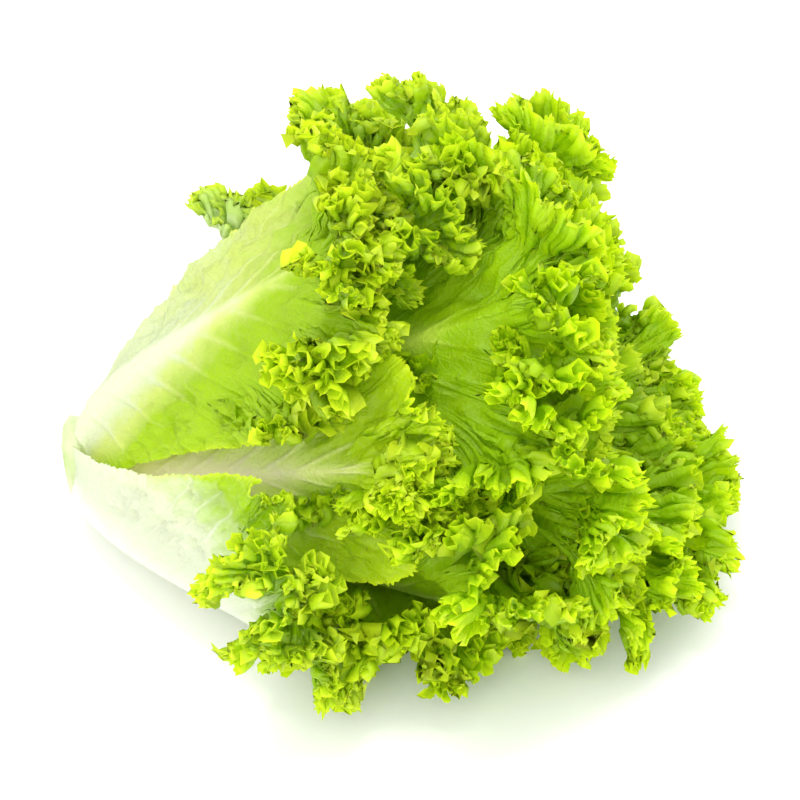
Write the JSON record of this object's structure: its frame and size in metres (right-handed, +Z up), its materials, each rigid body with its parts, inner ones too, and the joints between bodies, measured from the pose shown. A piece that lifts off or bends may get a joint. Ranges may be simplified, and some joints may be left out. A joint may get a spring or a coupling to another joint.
{
  "type": "lettuce head",
  "caption": "Whole head of frilly green leaf lettuce lying on its side, with pale ribs fanning out from a cut stem to curled, toothed margins.",
  "frame": {"origin": "on the table under the middle of the head's bounding box", "axes": "+X along the table from the cut stem towards the leaf tips, +Y to the head's back as it lies, +Z up"},
  "size_m": [0.2742, 0.2862, 0.1845],
  "materials": {
    "stem": "moist, fibrous cut stem with a thin waxy skin",
    "outer_leaf": "thin living leaf, waxy, slightly glossy, white rib at the foot",
    "middle_leaf": "thin living leaf, waxy, slightly glossy, pale green rib",
    "heart_leaf": "thin young leaf, waxy, pale yellow green"
  },
  "bodies": {
    "root": {"stem": "stem", "outer_leaf_1": "outer_leaf", "outer_leaf_2": "outer_leaf", "outer_leaf_3": "outer_leaf", "outer_leaf_4": "outer_leaf", "outer_leaf_5": "outer_leaf", "outer_leaf_6": "outer_leaf", "outer_leaf_7": "outer_leaf", "outer_leaf_8": "outer_leaf", "outer_leaf_9": "outer_leaf", "middle_leaf_1": "middle_leaf", "middle_leaf_2": "middle_leaf", "middle_leaf_3": "middle_leaf", "middle_leaf_4": "middle_leaf", "middle_leaf_5": "middle_leaf", "middle_leaf_6": "middle_leaf", "middle_leaf_7": "middle_leaf", "middle_leaf_8": "middle_leaf", "middle_leaf_9": "middle_leaf", "heart_leaf_1": "heart_leaf", "heart_leaf_2": "heart_leaf", "heart_leaf_3": "heart_leaf", "heart_leaf_4": "heart_leaf", "heart_leaf_5": "heart_leaf", "heart_leaf_6": "heart_leaf", "heart_leaf_7": "heart_leaf", "heart_leaf_8": "heart_leaf"}
  },
  "joints": []
}
